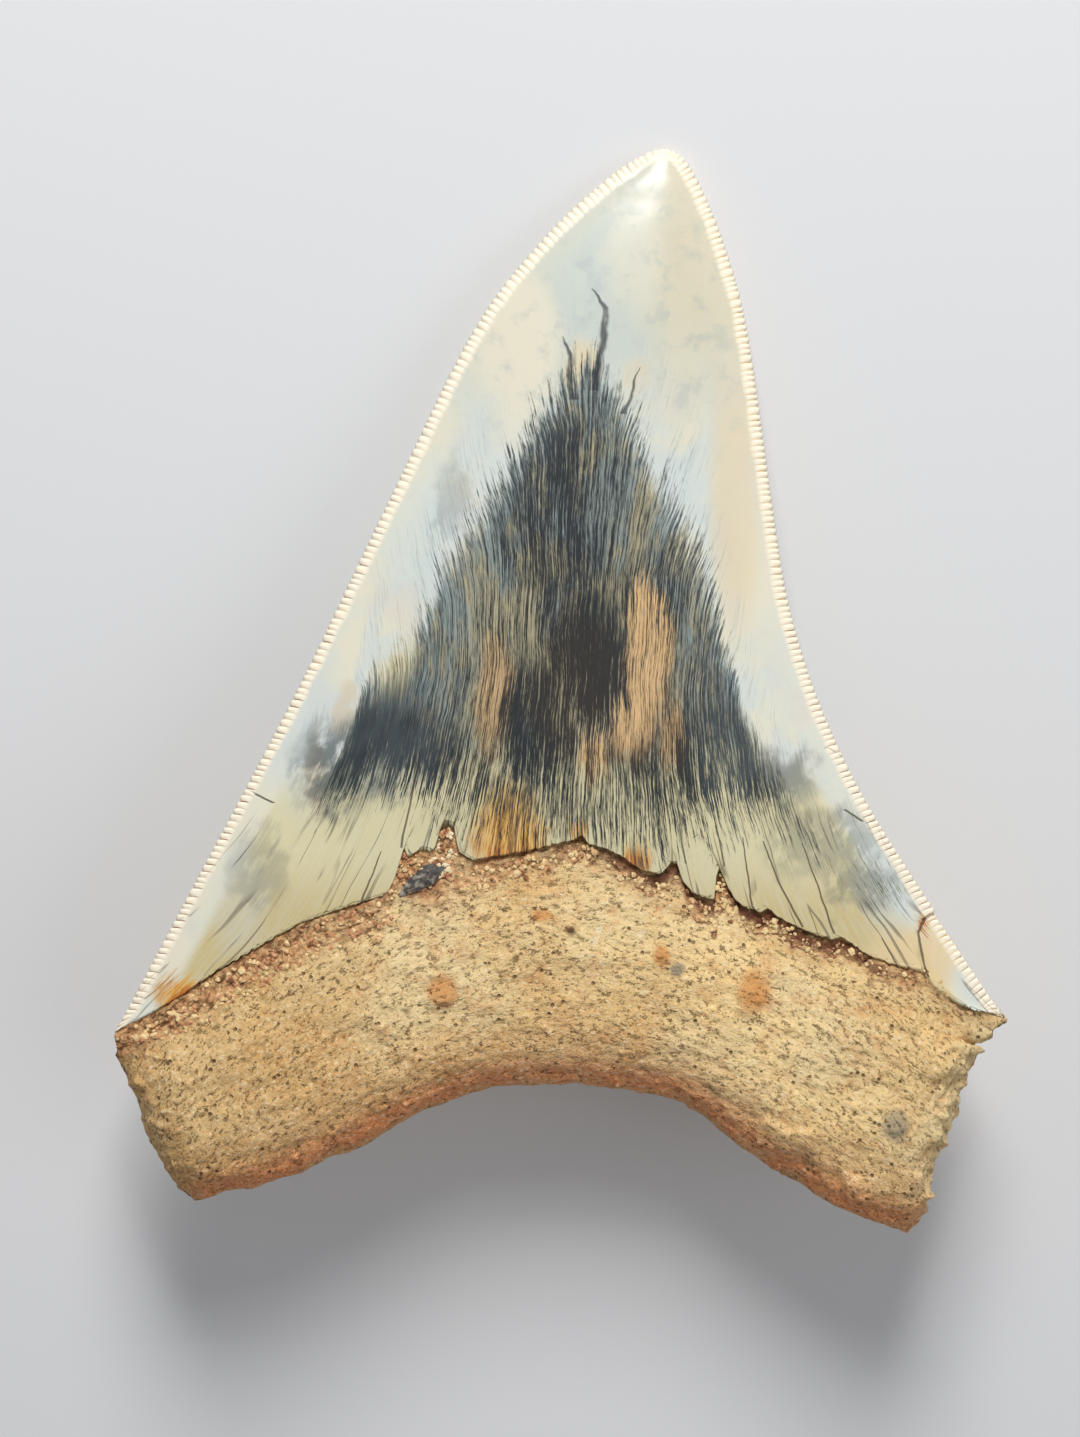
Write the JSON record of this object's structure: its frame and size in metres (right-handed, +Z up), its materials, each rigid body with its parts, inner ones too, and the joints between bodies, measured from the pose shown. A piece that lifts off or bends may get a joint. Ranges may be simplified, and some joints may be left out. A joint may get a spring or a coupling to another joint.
{
  "type": "megalodon tooth",
  "caption": "Fossil shark tooth: broad triangular enamel crown with finely saw-toothed edges on a thick two-lobed root, lying on its inner face.",
  "frame": {"origin": "on the surface the tooth lies on, under the middle of its box", "axes": "+Y from the root towards the tip, +Z up out of the flat labial face, +X to the right seen from above"},
  "size_m": [0.0966, 0.1156, 0.0288],
  "materials": {
    "tooth": "glossy pale blue-grey and cream enamel crown with a dark streaked core, matt tan root"
  },
  "bodies": {
    "root": {"tooth": "tooth"}
  },
  "joints": []
}
